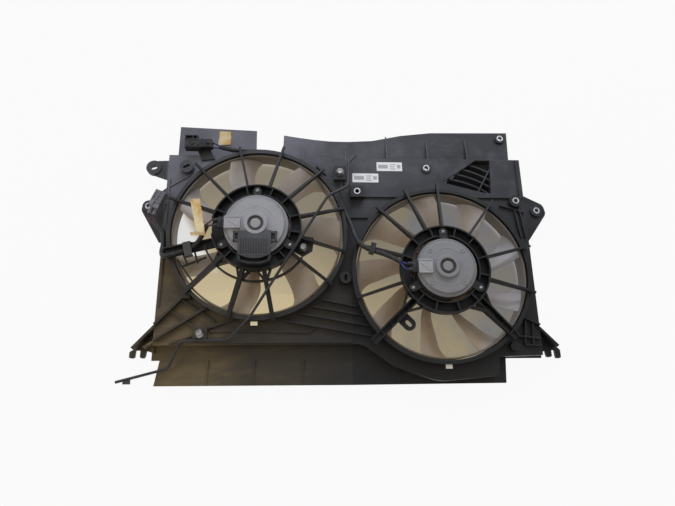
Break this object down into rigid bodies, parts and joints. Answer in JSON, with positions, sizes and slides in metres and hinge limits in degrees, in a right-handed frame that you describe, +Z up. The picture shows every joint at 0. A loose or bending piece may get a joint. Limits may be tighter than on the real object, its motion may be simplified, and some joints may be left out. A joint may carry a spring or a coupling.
{
  "type": "radiator cooling fan assembly",
  "caption": "Wide black shroud with two motor-driven banded fan wheels in round collars, spoked motor stays, side ears, lower forks and wiring.",
  "frame": {"origin": "middle of the radiator-side plane, midway between the two fan axes", "axes": "+X to the right and +Z up as seen from the motor side; the motors face -Y and the radiator lies at +Y"},
  "size_m": [0.7685, 0.089, 0.4898],
  "materials": {
    "shroud_black": "moulded black plastic with a dusty grey film",
    "fan_milky": "milky translucent plastic, dusty",
    "cap_grey": "matt grey coating",
    "case_steel": "drawn steel",
    "bracket_black": "black coated sheet",
    "bright_steel": "bright plated steel",
    "magnet_dark": "sintered ferrite, stood in for by cast iron",
    "bush_bronze": "sintered bronze",
    "holder_brown": "moulded insulating plate",
    "carbon": "pressed carbon",
    "plug_black": "black moulded plastic",
    "core_iron": "stacked iron sheet with windings",
    "copper": "copper bars",
    "sleeve_black": "black corrugated or taped sleeve",
    "wire_colours": "thin insulated wires",
    "controller_grey": "dark grey moulding",
    "connector_grey": "grey moulded plastic",
    "label_white": "blank white sticker",
    "tape_yellow": "aged yellow tape",
    "rod_dark": "dark coated steel rod"
  },
  "bodies": {
    "frame": {"left_shroud": "shroud_black", "right_shroud": "shroud_black", "left_motor_stay": "shroud_black", "right_motor_stay": "shroud_black", "left_motor_cap": "cap_grey", "left_motor_socket": "cap_grey", "left_motor_case": "case_steel", "left_motor_bracket": "bracket_black", "left_motor_screws": "bright_steel", "left_magnets": "magnet_dark", "left_fan_side_bush": "bush_bronze", "left_cap_side_bush": "bush_bronze", "left_brush_holder": "holder_brown", "left_brushes": "carbon", "left_motor_plug": "plug_black", "left_lead": "sleeve_black", "left_wires": "wire_colours", "left_lead_strap": "plug_black", "right_motor_cap": "cap_grey", "right_motor_socket": "cap_grey", "right_motor_case": "case_steel", "right_motor_bracket": "bracket_black", "right_motor_screws": "bright_steel", "right_magnets": "magnet_dark", "right_fan_side_bush": "bush_bronze", "right_cap_side_bush": "bush_bronze", "right_brush_holder": "holder_brown", "right_brushes": "carbon", "right_motor_plug": "plug_black", "right_lead": "sleeve_black", "right_wires": "wire_colours", "right_lead_strap": "plug_black", "left_controller": "controller_grey", "controller_cup": "plug_black", "top_connector": "plug_black", "top_plug": "plug_black", "ear_plug": "plug_black", "ear_connector": "connector_grey", "left_ear_sleeve": "bright_steel", "right_ear_sleeve": "bright_steel", "right_boss_sleeve": "bright_steel", "upper_flap_sleeve": "bright_steel", "upper_panel_sleeve": "bright_steel", "block_insert": "bright_steel", "panel_bolts": "bright_steel", "stay_bolt": "bright_steel", "blank_labels": "label_white", "tape_patch": "tape_yellow", "tape_strip": "tape_yellow", "bent_rod": "rod_dark"},
    "left_rotor": {"left_fan": "fan_milky", "left_shaft": "bright_steel", "left_fan_nut": "bright_steel", "left_armature": "core_iron", "left_commutator": "copper"},
    "right_rotor": {"right_fan": "fan_milky", "right_shaft": "bright_steel", "right_fan_nut": "bright_steel", "right_armature": "core_iron", "right_commutator": "copper"}
  },
  "joints": [
    {"name": "left_fan_spin", "type": "hinge", "parent": "frame", "child": "left_rotor", "pos_m": [-0.1615, -0.04, 0.011], "axis": [0, -1, 0], "continuous": true},
    {"name": "right_fan_spin", "type": "hinge", "parent": "frame", "child": "right_rotor", "pos_m": [0.1615, -0.04, -0.0635], "axis": [0, -1, 0], "continuous": true}
  ]
}
